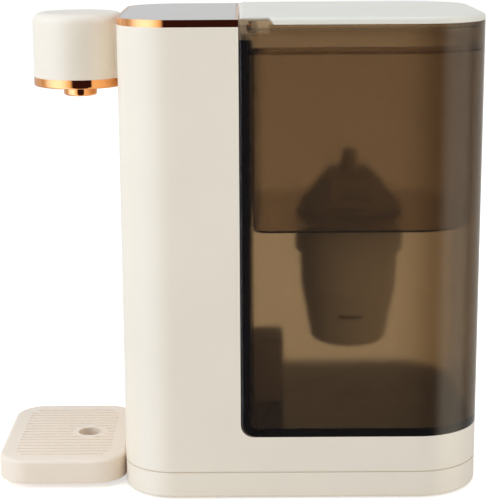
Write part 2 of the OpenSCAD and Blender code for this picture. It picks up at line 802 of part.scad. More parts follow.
module pump_head() color([0.15, 0.15, 0.16]) translate([0, heater_axis_y, pump_z]) difference() {
    half = pump_size / 2;
    union() {
        translate([-half, -half, -half]) cube(pump_size);
        cylinder(d = barb_d, h = half + barb_l);
        translate([0, 0, inlet_z - pump_z]) rotate([-90, 0, 0]) cylinder(d = barb_d, h = half + barb_l);
    }
    cylinder(d = barb_bore, h = half + barb_l + cut);
    translate([0, 0, inlet_z - pump_z]) rotate([-90, 0, 0]) cylinder(d = barb_bore, h = half + barb_l + cut);
}

module pump_motor() color(steel) translate([pump_size / 2, heater_axis_y, pump_z]) rotate([0, 90, 0]) {
    motor_cap_t = 2;
    cylinder(d = motor_d, h = motor_l);
    cylinder(d = motor_d / 3, h = motor_l + motor_cap_t);
}

// Rubber saddle under the motor and a pad under the head
module pump_cradle() color(rubber_grey) {
    cradle_margin = 2;
    cradle_l = motor_l - 2 * cradle_margin;
    pad_h = pump_z - pump_size / 2 - base_floor_z;
    difference() {
        translate([pump_size / 2 + cradle_margin, heater_axis_y - motor_d / 2, base_floor_z])
            cube([cradle_l, motor_d, motor_d / 2]);
        translate([0, heater_axis_y, pump_z]) rotate([0, 90, 0])
            cylinder(d = motor_d + 2 * touch_fit, h = 2 * motor_l + pump_size);
    }
    translate([-pump_size / 2, heater_axis_y - pump_size / 2, base_floor_z])
        cube([pump_size, pump_size, pad_h]);
}

module pressure_hose() color(silicone) translate([0, heater_axis_y, 0])
    hose(pump_top_z + touch_fit, heater_low_z + cap_cup - heater_cap_h - touch_fit);

// Hose from the dock down and forward to the pump
module feed_hose() color(silicone) {
    pump_rear_y = heater_axis_y + pump_size / 2 + touch_fit;
    translate([0, pump_rear_y, inlet_z]) rotate([-90, 0, 0]) hose(0, dock_y - hose_bend - pump_rear_y);
    translate([0, dock_y - hose_bend, inlet_z + hose_bend]) hose_elbow();
    translate([0, dock_y, 0]) hose(inlet_z + hose_bend, dock_low_z - touch_fit);
}

// Power board with its transformer, relay, capacitors and heat sink
module power_board() color(board_green) translate([0, board_y, board_z]) {
    part_x = board_w / 4;
    sink = board_t / 2;
    transformer = [20, 14, 22];
    relay = [16, 12, 18];
    capacitor_d = 10;
    capacitor_h = 14;
    capacitor_pitch = 16;
    fin = [1.2, 10, 26];
    fin_pitch = 3;
    difference() {
        translate([-board_w / 2, 0, 0]) cube([board_w, board_t, board_h]);
        for (x = board_corner_x, z = board_corner_z) translate([x, -cut, z - board_z]) rotate([-90, 0, 0])
            cylinder(d = screw_hole_d, h = board_t + 2 * cut);
    }
    translate([part_x, -transformer.y, board_h / 2]) cube(transformer + [0, sink, 0]);
    translate([part_x, -relay.y, board_h / 2 - 2 * capacitor_pitch]) cube(relay + [0, sink, 0]);
    for (i = [-1 : 1]) translate([-part_x - capacitor_d, sink, board_h / 2 + i * capacitor_pitch])
        rotate([90, 0, 0]) cylinder(d = capacitor_d, h = capacitor_h + sink);
    for (i = [1 : 4]) translate([-part_x + i * fin_pitch, -fin.y, (board_h - fin.z) / 2])
        cube(fin + [0, sink, 0]);
}

// Dock

dock_flange_t = 2;
dock_low_z = seat_z - wall - dock_flange_t;
pin_d = 4;
port_d = 1.2;
port_gap = 0.1;
port_x = pin_d / 2 + port_d / 2 + port_gap;
nipple_rise = 5;
nipple_wall = 1.5;
pin_top_z = seat_z + nipple_rise;
seal_d = 15.4;
seal_t = 2;

// Nipple on the shelf with the pin that pushes the tank's valve open
module dock_socket() color(rubber_grey) translate([0, dock_y, 0]) difference() {
    union() {
        translate([0, 0, dock_low_z]) cylinder(d = dock_flange_d, h = dock_flange_t);
        translate([0, 0, dock_low_z]) cylinder(d = dock_body_d - fit, h = seat_z - dock_low_z - fit);
        translate([0, 0, dock_low_z]) cylinder(d = nipple_d, h = pin_top_z - dock_low_z);
        translate([0, 0, dock_low_z - barb_l]) cylinder(d = barb_d, h = barb_l + cut);
    }
    // Annular channel round the pin, drained by the barb
    difference() {
        translate([0, 0, seat_z - wall])
            cylinder(d = nipple_d - 2 * nipple_wall, h = wall + nipple_rise + cut);
        translate([0, 0, seat_z - wall]) cylinder(d = pin_d, h = wall + nipple_rise + 2 * cut);
        translate([-pin_d / 8, -nipple_d / 2, seat_z - wall]) cube([pin_d / 4, nipple_d, wall]);
    }
    for (side = [-1, 1]) translate([side * port_x, 0, dock_low_z + cut / 2])
        cylinder(d = port_d, h = seat_z - dock_low_z);
    translate([0, 0, dock_low_z - barb_l - cut]) cylinder(d = barb_bore, h = barb_l + 1.5 * cut);
    translate([-port_x, -port_d / 2, dock_low_z + cut / 4]) cube([2 * port_x, port_d, cut]);
}

module dock_seal() color(silicone) translate([0, dock_y, 0])
    tube(seal_d, nipple_d + 2 * touch_fit, seat_z + cut, seat_z + cut + seal_t);

// Tank

spigot_bore = seal_d + 2 * fit;
housing_spigot_d = 24;
floor_hole_gap = 1;
floor_hole_d = housing_spigot_d + 2 * floor_hole_gap;
thumb_slope = 4;
tab_drop = 0.4;
tank_inner_r = tank_corner_r - tank_front_t;

module tank_outer() {
    intersection() {
        translate([0, 0, seat_z]) linear_extrude(tank_rim_z - seat_z) tank_plan(0, 0);
        across(body_w + 2 * cut) tank_side(tank_front_y, seat_z, tank_corner_r);
    }
}

// Tank seen from the side, with its lower front corner rounded
module tank_side(y0, z0, r) {
    h = tank_rim_z + 2 * cut - z0;
    l = rear_y + cut - y0;
    translate([y0 + r, z0]) square([l - r, h]);
    translate([y0, z0 + r]) square([l, h - r]);
    translate([y0 + r, z0 + r]) circle(r);
}

module tank_inner() {
    intersection() {
        translate([0, 0, seat_z]) linear_extrude(tank_rim_z - seat_z + cut)
            tank_plan(tank_wall, tank_front_t);
        across(body_w) tank_side(tank_inner_y, tank_floor_z, tank_inner_r);
    }
}

// Outline of the lid's notch up to a given level, drawn in y and z, made smaller by a gap
module notch_outline(gap, top_z) {
    polygon([
        [tank_front_y - cut, tank_rim_z - cut],
        [tank_front_y + thumb_l + thumb_slope - 2 * gap, tank_rim_z - cut],
        [tank_front_y + thumb_l + thumb_slope - 2 * gap, tank_rim_z],
        [tank_front_y + thumb_l - 2 * gap, top_z],
        [tank_front_y - cut, top_z]
    ]);
}

// Tabs that fill the lid's notches, in one face with the thumb pockets
module thumb_tabs() {
    intersection() {
        translate([0, 0, tank_rim_z - cut]) linear_extrude(lid_h) tank_plan(thumb_depth, 0);
        for (side = [0, 1]) mirror([side, 0, 0]) translate([body_w / 2 - tank_wall, 0, 0]) rotate([90, 0, 90])
            linear_extrude(tank_wall) notch_outline(fit, lid_top_z - tab_drop);
    }
}

module tank_shell() color(smoke) difference() {
    union() {
        difference() {
            tank_outer();
            tank_inner();
        }
        thumb_tabs();
        // Ledge for the hopper's lip
        difference() {
            translate([0, 0, ledge_z - ledge_t]) linear_extrude(ledge_t)
                tank_plan(tank_wall / 2, tank_front_t / 2);
            translate([0, 0, ledge_z - ledge_t - cut]) linear_extrude(ledge_t + 2 * cut)
                tank_plan(tank_wall + ledge_w, tank_front_t + ledge_w);
        }
    }
    // Pouring notch
    translate([-body_w / 2 + tank_wall, tank_front_y - cut, tank_rim_z - pour_notch_h])
        cube([body_w - 2 * tank_wall, tank_front_t + inner_front_r + 2 * cut, pour_notch_h + cut]);
    // Groove for the column's guide rib
    groove_depth = guide_t - tank_gap + loose_fit;
    translate([-guide_w / 2 - loose_fit, tank_front_y - cut, seat_z - cut])
        cube([guide_w + 2 * loose_fit, groove_depth + cut, guide_top_z + loose_fit - seat_z + cut]);
    // Thumb pockets under the notches of the lid
    for (side = [0, 1]) mirror([side, 0, 0])
        translate([body_w / 2 - thumb_depth, tank_front_y - cut, tank_rim_z - thumb_h])
            cube([thumb_depth + cut, thumb_l + thumb_slope / 2, thumb_h + lid_h]);
    translate([0, dock_y, seat_z - cut]) cylinder(d = floor_hole_d, h = tank_floor_t + 2 * cut);
}

// Outlet valve

seat_hole_d = 9;
seat_t = 2;
poppet_d = 13;
poppet_t = 3;
stem_d = 4;
housing_wall = 2.4;
housing_r = 4;
tower_edge_step = 2;
tower_edge_r = tank_inner_r + tower_edge_step;
seat_rise = 4;
floor_seal_rise = 1.5;
floor_seal_z = seat_z + floor_seal_rise;
floor_seal_t = 2;
// Height of the rounded nook under the front of the spigot
nook_reach = dock_y - housing_spigot_d / 2 - column_rear_y;
nook_rise = nook_reach < nook_r ? nook_r - sqrt(pow(nook_r, 2) - pow(nook_r - nook_reach, 2)) : 0;
spigot_low_z = seat_z + nook_rise + loose_fit;
chamber_gap = 2;
chamber_d = poppet_d + 2 * chamber_gap;
valve_seat_z = tank_floor_z + seat_rise;
poppet_z = valve_seat_z + seat_t + valve_travel;
valve_top_z = tank_floor_z + valve_h;
valve_roof_z = valve_top_z - housing_wall;
pocket_w = valve_w / 2 - chamber_d / 2 - 2 * housing_wall;
window_w = 9;
window_h = 14;

// Tower on the tank floor with intake windows, a chamber for the poppet and a spigot through the floor
module valve_housing() color(dark_smoke) difference() {
    union() {
        // The tower's lower front edge follows the rounded corner of the tank
        intersection() {
            translate([0, 0, tank_floor_z]) linear_extrude(valve_h)
                plan_outline(valve_w, dock_y - valve_l / 2, dock_y + valve_l / 2, housing_r, housing_r);
            across(body_w) tank_side(dock_y - valve_l / 2, tank_floor_z, tower_edge_r);
        }
        translate([0, dock_y, spigot_low_z])
            cylinder(d = housing_spigot_d, h = tank_floor_z - spigot_low_z + cut);
    }
    translate([0, dock_y, spigot_low_z - cut])
        cylinder(d = spigot_bore, h = valve_seat_z - spigot_low_z + cut);
    translate([0, dock_y, spigot_low_z])
        cylinder(d = seat_hole_d, h = valve_roof_z - spigot_low_z);
    translate([0, dock_y, valve_seat_z + seat_t])
        cylinder(d = chamber_d, h = valve_roof_z - valve_seat_z - seat_t);
    // Side pockets that keep the wall even
    for (side = [-1, 1]) translate([side * (chamber_d / 2 + housing_wall) - (side < 0 ? pocket_w : 0),
        dock_y - valve_l / 2 + housing_wall, valve_seat_z])
        cube([pocket_w, valve_l - 2 * housing_wall, valve_roof_z - valve_seat_z]);
    // Intake windows towards the tank
    for (side = [-1, 0, 1]) translate([side * (window_w + housing_wall) - window_w / 2, dock_y,
        valve_seat_z + seat_t]) cube([window_w, valve_l, window_h]);
}

module outlet_seal() color(silicone) translate([0, dock_y, 0])
    tube(floor_hole_d - 2 * touch_fit, housing_spigot_d + 2 * touch_fit, floor_seal_z,
        floor_seal_z + floor_seal_t);

// Poppet held open by the dock's pin while the tank stands on the shelf
module valve_poppet() color(off_white) translate([0, dock_y, 0]) {
    translate([0, 0, poppet_z]) cylinder(d = poppet_d, h = poppet_t);
    translate([0, 0, pin_top_z + touch_fit]) cylinder(d = stem_d, h = poppet_z - pin_top_z + cut);
    translate([0, 0, poppet_z]) cylinder(d = stem_d, h = poppet_t + stem_d);
}

// Coil spring between the poppet and the roof of the housing
spring_r = 4.2;
spring_sides = 6;
spring_steps = 10;
spring_low_z = poppet_z + poppet_t + spring_wire_d / 2 + touch_fit;
spring_top_z = valve_roof_z - spring_wire_d / 2 - touch_fit;
spring_pitch = (spring_top_z - spring_low_z) / spring_turns;
spring_rings = spring_turns * spring_steps;

// Corners of the wire's section at one step of the coil
function spring_ring(i) =
    let (turn = 360 * i / spring_steps, z = spring_low_z + spring_pitch * i / spring_steps)
    [for (s = [0 : spring_sides - 1])
        let (a = 360 * s / spring_sides, r = spring_r + spring_wire_d / 2 * cos(a))
        [r * cos(turn), r * sin(turn), z + spring_wire_d / 2 * sin(a)]];

module valve_spring() color(steel) translate([0, dock_y, 0]) {
    n = spring_sides;
    points = [for (i = [0 : spring_rings]) each spring_ring(i)];
    walls = [for (i = [0 : spring_rings - 1], s = [0 : n - 1]) let (a = i * n + s, b = i * n + (s + 1) % n)
        each [[a, b, b + n], [a, b + n, a + n]]];
    start = [for (s = [1 : n - 2]) [0, s + 1, s]];
    last = spring_rings * n;
    end = [for (s = [1 : n - 2]) [last, last + s, last + s + 1]];
    echo(valve_spring_least_gap = spring_pitch - spring_wire_d);
    polyhedron(points = points, faces = concat(walls, start, end));
}

// Hopper

hopper_inset = tank_wall + ledge_w + loose_fit;
hopper_front_inset = tank_front_t + ledge_w + loose_fit;
lip_inset = tank_wall + loose_fit;
lip_front_inset = tank_front_t + loose_fit;
hopper_front_r = 10;
cartridge_gap = 1;
hopper_hole_d = cartridge_d + 2 * cartridge_gap;

module hopper() color(smoke) difference() {
    r_rear = corner_r + corner_fill - hopper_inset;
    w = body_w - 2 * hopper_inset;
    y0 = tank_front_y + hopper_front_inset;
    y1 = rear_y - hopper_inset;
    t = hopper_wall;
    union() {
        translate([0, 0, hopper_low_z])
            rounded_slab(w, y0, y1, hopper_front_r, r_rear, hopper_h, 0, hopper_edge_r);
        // Rim that rests on the tank's ledge
        translate([0, 0, ledge_z]) linear_extrude(lip_h) tank_plan(lip_inset, lip_front_inset);
    }
    translate([0, 0, hopper_floor_z]) linear_extrude(hopper_h)
        plan_outline(w - 2 * t, y0 + t, y1 - t, hopper_front_r - t, r_rear - t);
    translate([0, filter_axis_y, hopper_low_z - cut])
        cylinder(d = hopper_hole_d, h = hopper_floor_t + 2 * cut);
}

// Filter

holder_top_z = hopper_low_z;
cup_top_z = holder_top_z - collar_h;
cup_floor_t = 2.4;
cup_low_z = hopper_floor_z - cartridge_l - cup_foot_gap - cup_floor_t;
cup_edge_r = 6;
drain_slots = 8;
drain_slot_d = 3;
outlet_slots = 4;
outlet_slot_w = 15;
outlet_slot_h = 3;
outlet_slot_rise = 20;

// Half section of the tapered cup with a rounded lower edge
module cup_section(inset, z0, z1) {
    low_r = cup_low_d / 2 - inset;
    edge = cup_edge_r - inset;
    mid_r = cup_mid_d / 2 - inset;
    top_r = cup_top_d / 2 - inset;
    polygon([
        [0, z0 + edge], [low_r, z0 + edge], [mid_r, cup_top_z - cup_mid_h],
        [top_r, cup_top_z], [top_r, z1], [0, z1]
    ]);
    translate([0, z0]) square([low_r - edge, edge + cut]);
    intersection() {
        translate([low_r - edge, z0 + edge]) circle(edge);
        translate([0, z0]) square([low_r, edge]);
    }
}

// Collar and cup that hang under the hopper floor
module filter_holder() color(smoke) translate([0, filter_axis_y, 0]) difference() {
    union() {
        translate([0, 0, cup_top_z]) cylinder(d = collar_d, h = collar_h);
        rotate_extrude() cup_section(0, cup_low_z, cup_top_z + cut);
    }
    translate([0, 0, cup_top_z + holder_wall]) cylinder(d = collar_d - 2 * holder_wall, h = collar_h);
    rotate_extrude() cup_section(holder_wall, cup_low_z + cup_floor_t, cup_top_z + 2 * holder_wall);
    for (i = [0 : outlet_slots - 1]) rotate([0, 0, 360 * i / outlet_slots])
        translate([cup_low_d / 4, -outlet_slot_w / 2, cup_low_z + outlet_slot_rise])
            cube([cup_low_d / 2, outlet_slot_w, outlet_slot_h]);
    translate([0, 0, cup_low_z - cut]) cylinder(d = cup_low_d / 3, h = cup_floor_t + 2 * cut);
}

shell_t = 1.8;
shell_top_z = hopper_floor_z;
shell_low_z = shell_top_z - cartridge_l;
taper_top_z = cup_top_z - cup_mid_h;
shoulder_rise = 8;
shoulder_z = taper_top_z + shoulder_rise;
shell_taper = 4;
shell_low_d = cup_low_d - 2 * holder_wall - 4 * cartridge_gap - shell_taper;
shell_mid_d = cup_mid_d - 2 * holder_wall - 4 * cartridge_gap;

// Half section of the cartridge body
module cartridge_section(inset, low_inset, z1) {
    polygon([
        [0, shell_low_z + low_inset], [shell_low_d / 2 - inset, shell_low_z + low_inset],
        [shell_mid_d / 2 - inset, taper_top_z], [cartridge_d / 2 - inset, shoulder_z],
        [cartridge_d / 2 - inset, z1], [0, z1]
    ]);
}

module cartridge_shell() color(off_white) translate([0, filter_axis_y, 0]) difference() {
    rotate_extrude() cartridge_section(0, 0, shell_top_z);
    rotate_extrude() cartridge_section(shell_t, shell_t, shell_top_z + cut);
    for (i = [0 : drain_slots - 1]) rotate([0, 0, 360 * i / drain_slots])
        translate([shell_low_d / 4, 0, shell_low_z - cut]) cylinder(d = drain_slot_d, h = shell_t + 2 * cut);
}

media_gap = 12;
module cartridge_media() color([0.12, 0.12, 0.12]) translate([0, filter_axis_y, 0]) rotate_extrude()
    cartridge_section(shell_t + touch_fit, shell_t + touch_fit, shell_top_z - media_gap);

cap_flange_t = 1.6;
cap_wall_h = 6;
cone_low_d = 63;
tower_d = 30;
knob_h = 14;
knob_base_d = 14;
knob_edge_r = 2;
cap_t = 1.8;
gable_w = 27;
gable_reach = 28;
slot_rows = [0.6, 8.4];
slot_count = 4;
slot_w = 15;
slot_h = 2.6;
seal_ring_t = 0.8;
seal_ring_inset = 0.5;
seal_ring_d = cap_d - 2 * seal_ring_inset;
cap_low_z = hopper_floor_z + seal_ring_t;
cone_top_z = hopper_floor_z + cap_h - knob_h;
cone_h = cone_top_z - cap_low_z - cap_wall_h;
sleeve_d = cartridge_d - 2 * shell_t - 2 * touch_fit;
sleeve_l = 6;
sleeve_bore = sleeve_d - 2 * shell_t;

// Two flat-fronted gables that stand out of the cone, made smaller by an inset
module gables(inset) {
    reach = gable_reach - inset;
    w = gable_w - 2 * inset;
    translate([-reach, -w / 2, cap_low_z]) cube([2 * reach, w, cone_top_z - cap_low_z - cut - inset]);
}

// Slotted cone with a flange below and a pull knob on top
module cartridge_cap() color(off_white) translate([0, filter_axis_y, 0]) difference() {
    union() {
        translate([0, 0, cap_low_z]) cylinder(d = cap_d, h = cap_flange_t);
        translate([0, 0, cap_low_z]) cylinder(d = cone_low_d, h = cap_wall_h);
        translate([0, 0, cap_low_z + cap_wall_h])
            cylinder(d1 = cone_low_d, d2 = tower_d, h = cone_h);
        gables(0);
        rotate_extrude() {
            knob_top_z = cone_top_z + knob_h;
            polygon([
                [0, cone_top_z - cut], [knob_base_d / 2, cone_top_z - cut],
                [knob_d / 2, knob_top_z - knob_edge_r], [knob_d / 2 - knob_edge_r, knob_top_z - knob_edge_r],
                [knob_d / 2 - knob_edge_r, knob_top_z], [0, knob_top_z]
            ]);
            translate([knob_d / 2 - knob_edge_r, knob_top_z - knob_edge_r]) circle(knob_edge_r);
        }
        // Sleeve that plugs into the cartridge body
        tube(sleeve_d, sleeve_bore, shell_top_z - sleeve_l, cap_low_z + cap_flange_t);
    }
    translate([0, 0, cap_low_z + cap_wall_h - cut])
        cylinder(d1 = cone_low_d - 2 * cap_t, d2 = tower_d - 2 * cap_t, h = cone_h - cap_t);
    intersection() {
        gables(cap_t);
        translate([0, 0, cap_low_z + cap_flange_t])
            cylinder(d = 2 * gable_reach + cap_d, h = cone_h + cap_wall_h);
    }
    translate([0, 0, cap_low_z - cut]) cylinder(d = sleeve_bore, h = cap_wall_h + cut);
    for (row = slot_rows, i = [0 : slot_count - 1]) rotate([0, 0, 360 * i / slot_count])
        translate([tower_d / 2, -slot_w / 2, cap_low_z + cap_flange_t + row])
            cube([cone_low_d / 2, slot_w, slot_h]);
}

module cartridge_seal() color(silicone) translate([0, filter_axis_y, 0])
    tube(seal_ring_d, cartridge_d + 2 * touch_fit, hopper_floor_z, cap_low_z);

// Lid

lid_skirt_t = 2.8;
liner_t = 1.6;
liner_gap = 1.2;
liner_inset = tank_wall + liner_gap;
liner_front_inset = tank_front_t + liner_gap;
liner_low_z = lid_low_z - liner_reach;
lid_plate_z = lid_top_z - lid_t;
lid_edge_low_r = 0.4;
lid_seal_rise = 1.5;
lid_seal_h = 1.6;

// Lid with its edge cut away over the thumb pockets, where the tank's tabs show
module tank_lid() color(off_white) difference() {
    translate([0, 0, lid_low_z]) rounded_slab(body_w, tank_front_y, rear_y, lid_front_r, corner_r, lid_h,
        lid_edge_r, lid_edge_low_r);
    translate([0, 0, lid_low_z - cut]) linear_extrude(lid_plate_z - lid_low_z + cut)
        tank_plan(lid_skirt_t, lid_skirt_t);
    for (side = [0, 1]) mirror([side, 0, 0]) translate([body_w / 2 - tank_wall - fit, 0, 0])
        rotate([90, 0, 90]) linear_extrude(tank_wall + fit + cut) notch_outline(0, lid_top_z + cut);
}

module lid_liner() color(off_white) difference() {
    liner_h = lid_plate_z - liner_low_z;
    translate([0, 0, liner_low_z]) linear_extrude(liner_h) tank_plan(liner_inset, liner_front_inset);
    translate([0, 0, liner_low_z - cut]) linear_extrude(liner_h + 2 * cut)
        tank_plan(liner_inset + liner_t, liner_front_inset + liner_t);
}

module lid_seal() color(silicone) difference() {
    seal_low_z = liner_low_z + lid_seal_rise;
    translate([0, 0, seal_low_z]) linear_extrude(lid_seal_h) tank_plan(tank_wall + fit, tank_front_t + fit);
    translate([0, 0, seal_low_z - cut]) linear_extrude(lid_seal_h + 2 * cut)
        tank_plan(liner_inset - touch_fit, liner_front_inset - touch_fit);
}

// Drip tray

tray_front_y = front_y - tray_reach;
tray_rear_y = front_y - tray_gap;
cover_low_edge_r = 1;
cover_plate_z = tray_h - cover_t;
basin_inset = tray_wall + loose_fit;
basin_floor_t = 2;

// Plan of the tray, moved inwards by an inset
module tray_plan(inset) {
    r = tray_r - inset;
    plan_outline(tray_w - 2 * inset, tray_front_y + inset, tray_rear_y - inset, r, r);
}

// Pan under the cover, on a ring that is set back out of sight
module tray_basin() color(cream) {
    difference() {
        translate([0, 0, tray_foot_h]) linear_extrude(cover_plate_z - tray_foot_h) tray_plan(basin_inset);
        translate([0, 0, tray_foot_h + basin_floor_t]) linear_extrude(tray_h)
            tray_plan(basin_inset + tray_wall);
    }
    difference() {
        linear_extrude(tray_foot_h + cut) tray_plan(tray_foot_inset);
        translate([0, 0, -cut]) linear_extrude(tray_foot_h + cut) tray_plan(tray_foot_inset + tray_wall);
    }
    // Tongue that slides into the base
    tongue_y = tray_rear_y - basin_inset - tray_wall / 2;
    translate([-tongue_w / 2, tongue_y, tongue_z])
        cube([tongue_w, front_y + wall + tongue_l - tongue_y, tongue_t]);
}

// Cover that carries the grooves and the drain hole and hides the basin
module tray_cover() color(cream) difference() {
    groove_zone = tray_w / 2 - tray_rim_w - groove_w;
    groove_count = floor(groove_zone / groove_pitch);
    union() {
        difference() {
            translate([0, 0, tray_foot_h]) rounded_slab(tray_w, tray_front_y, tray_rear_y, tray_r, tray_r,
                tray_h - tray_foot_h, tray_edge_r, cover_low_edge_r);
            translate([0, 0, tray_foot_h - cut]) linear_extrude(cover_plate_z - tray_foot_h + cut)
                tray_plan(tray_wall);
            for (i = [-groove_count : groove_count]) groove(i * groove_pitch);
        }
        translate([0, nozzle_y, cover_plate_z - drain_collar_h])
            cylinder(d = drain_d + 2 * tray_wall, h = drain_collar_h + cut);
        translate([0, nozzle_y, cover_plate_z + cut / 2]) cylinder(d = drain_ring_d, h = cover_t - cut / 2);
    }
    translate([0, nozzle_y, cover_plate_z - drain_collar_h - cut])
        cylinder(d = drain_d, h = cover_t + drain_collar_h + 2 * cut);
    // Way for the tongue, open below so that the cover lifts off
    translate([-tongue_w / 2 - loose_fit, tray_rear_y - tray_wall - cut, 0])
        cube([tongue_w + 2 * loose_fit, tray_wall + 2 * cut, tongue_z + tongue_t + loose_fit]);
}

// One groove along y, shortened where the tray's corners are round
module groove(x) {
    r = tray_r - tray_rim_w;
    edge_x = tray_w / 2 - tray_rim_w - r;
    over = max(abs(x) + groove_w / 2 - edge_x, 0);
    back = tray_rim_w + (r - sqrt(r * r - over * over));
    translate([x - groove_w / 2, tray_front_y + back, tray_h - groove_d])
        cube([groove_w, tray_l - 2 * back, groove_d + cut]);
}

base_pan();
feet();
housing_shell();
base_screws();
cord_bushing();
top_trim();
touch_panel();
panel_carrier();
touch_board();
spout_head();
spout_ring();
nozzle();
nozzle_insert();
spout_screws();
outlet_tube();
heater_tube();
heater_lower_cap();
heater_upper_cap();
heater_clamps();
thermal_cutout();
pump_head();
pump_motor();
pump_cradle();
pressure_hose();
feed_hose();
power_board();
dock_socket();
dock_seal();
tank_shell();
valve_housing();
outlet_seal();
valve_poppet();
valve_spring();
hopper();
filter_holder();
cartridge_shell();
cartridge_cap();
cartridge_media();
cartridge_seal();
tank_lid();
lid_liner();
lid_seal();
tray_basin();
tray_cover();
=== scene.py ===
import json
import math

import bpy
from mathutils import Matrix, Vector

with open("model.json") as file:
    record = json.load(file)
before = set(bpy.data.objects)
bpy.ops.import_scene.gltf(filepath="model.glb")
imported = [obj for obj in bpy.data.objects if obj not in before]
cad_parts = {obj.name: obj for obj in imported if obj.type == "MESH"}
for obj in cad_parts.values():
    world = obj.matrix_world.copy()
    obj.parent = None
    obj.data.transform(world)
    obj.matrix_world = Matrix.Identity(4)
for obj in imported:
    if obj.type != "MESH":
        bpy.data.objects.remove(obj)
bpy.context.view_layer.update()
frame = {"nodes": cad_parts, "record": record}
nodes = frame["nodes"]

# Camera: it looks along -x at the machine's side, a little from above
CAMERA_PLACE = Vector((1.0118, 0.0073, 0.3696))
CAMERA_PITCH = 0.2191
CAMERA_YAW = 0.0022
CAMERA_ROLL = -0.0062
CAMERA_LENS = 112.94


def make_camera():
    data = bpy.data.cameras.new("camera")
    data.lens = CAMERA_LENS
    data.sensor_width = 36.0
    data.clip_start = 0.01
    data.clip_end = 100.0
    camera = bpy.data.objects.new("camera", data)
    bpy.context.scene.collection.objects.link(camera)
    right = Vector((-math.sin(CAMERA_YAW), math.cos(CAMERA_YAW), 0.0))
    back = Vector((math.cos(CAMERA_YAW), math.sin(CAMERA_YAW), 0.0))
    up = Vector((0.0, 0.0, 1.0))
    tilted_back = back * math.cos(CAMERA_PITCH) + up * math.sin(CAMERA_PITCH)
    tilted_up = up * math.cos(CAMERA_PITCH) - back * math.sin(CAMERA_PITCH)
    rolled_right = right * math.cos(CAMERA_ROLL) + tilted_up * math.sin(CAMERA_ROLL)
    rolled_up = tilted_up * math.cos(CAMERA_ROLL) - right * math.sin(CAMERA_ROLL)
    axes = Matrix((rolled_right, rolled_up, tilted_back)).transposed()
    camera.matrix_world = Matrix.Translation(CAMERA_PLACE) @ axes.to_4x4()
    bpy.context.scene.camera = camera


# Small helpers for shader nodes

# Noise patterns, in cycles a metre
CLOUD_SCALE = 14.0
SMEAR_SCALE = 35.0
FLOW_SCALE = 60.0
GLOSS_SCALE = 90.0
FROST_SCALE = 260.0
POLISH_SCALE = 400.0
RIPPLE_SCALE = 700.0
# Depth of the finest relief, in metres
GRAIN_DEPTH = 0.0002
POLISH_DEPTH = 0.0001
PLASTIC_IOR = 1.49


class Shader:
    """A new node material with helpers that add nodes to it."""

    def __init__(self, name):
        self.material = bpy.data.materials.new(name)
        self.material.use_nodes = True
        self.tree = self.material.node_tree
        self.surface = self.tree.nodes["Principled BSDF"]
        self.coordinates = self.tree.nodes.new("ShaderNodeTexCoord").outputs["Object"]

    def add(self, kind, **settings):
        node = self.tree.nodes.new(kind)
        for key, value in settings.items():
            setattr(node, key, value)
        return node

    def link(self, source, target):
        self.tree.links.new(source, target)

    def noise(self, scale, detail=3.0, stretch=(1.0, 1.0, 1.0)):
        """Noise value between 0 and 1 in the part's own space; scale is in cycles a metre."""
        mapping = self.add("ShaderNodeMapping")
        mapping.inputs["Scale"].default_value = stretch
        self.link(self.coordinates, mapping.inputs["Vector"])
        node = self.add("ShaderNodeTexNoise")
        node.inputs["Scale"].default_value = scale
        node.inputs["Detail"].default_value = detail
        self.link(mapping.outputs["Vector"], node.inputs["Vector"])
        return node.outputs["Fac"]

    def ranged(self, value, low, high):
        """The value's middle part spread from low to high."""
        node = self.add("ShaderNodeMapRange")
        node.inputs["From Min"].default_value = 0.3
        node.inputs["From Max"].default_value = 0.7
        node.inputs["To Min"].default_value = low
        node.inputs["To Max"].default_value = high
        self.link(value, node.inputs["Value"])
        return node.outputs["Result"]

    def tint(self, value, first, second):
        """Colour between first and second."""
        node = self.add("ShaderNodeMix", data_type="RGBA")
        node.inputs["A"].default_value = (*first, 1.0)
        node.inputs["B"].default_value = (*second, 1.0)
        self.link(value, node.inputs["Factor"])
        return node.outputs["Result"]

    def bump(self, value, strength, distance):
        node = self.add("ShaderNodeBump")
        node.inputs["Strength"].default_value = strength
        node.inputs["Distance"].default_value = distance
        self.link(value, node.inputs["Height"])
        self.link(node.outputs["Normal"], self.surface.inputs["Normal"])


def shade(colour, factor):
    return tuple(min(1.0, channel * factor) for channel in colour)


def plastic(name, colour, roughness, variation=0.02, grain=0.05, grain_scale=1800.0, specular=0.5):
    """Moulded plastic with a faint cloudiness, uneven gloss and a fine grain."""
    shader = Shader(name)
    cloud = shader.ranged(shader.noise(CLOUD_SCALE), 0.0, 1.0)
    shader.link(shader.tint(cloud, shade(colour, 1.0 - variation), shade(colour, 1.0 + variation)),
                shader.surface.inputs["Base Color"])
    gloss = shader.ranged(shader.noise(GLOSS_SCALE, 5.0), roughness * 0.9, roughness * 1.1)
    shader.link(gloss, shader.surface.inputs["Roughness"])
    shader.surface.inputs["Specular IOR Level"].default_value = specular
    shader.bump(shader.noise(grain_scale, 2.0), grain, GRAIN_DEPTH)
    return shader.material


def metal(name, colour, roughness, stretch=(1.0, 1.0, 1.0), grain=0.02):
    """Metal with faint polishing marks."""
    shader = Shader(name)
    marks = shader.noise(POLISH_SCALE, 4.0, stretch)
    shader.link(shader.tint(shader.ranged(marks, 0.0, 1.0), shade(colour, 0.96), shade(colour, 1.03)),
                shader.surface.inputs["Base Color"])
    shader.link(shader.ranged(marks, roughness * 0.8, roughness * 1.25), shader.surface.inputs["Roughness"])
    shader.surface.inputs["Metallic"].default_value = 1.0
    shader.bump(marks, grain, POLISH_DEPTH)
    return shader.material


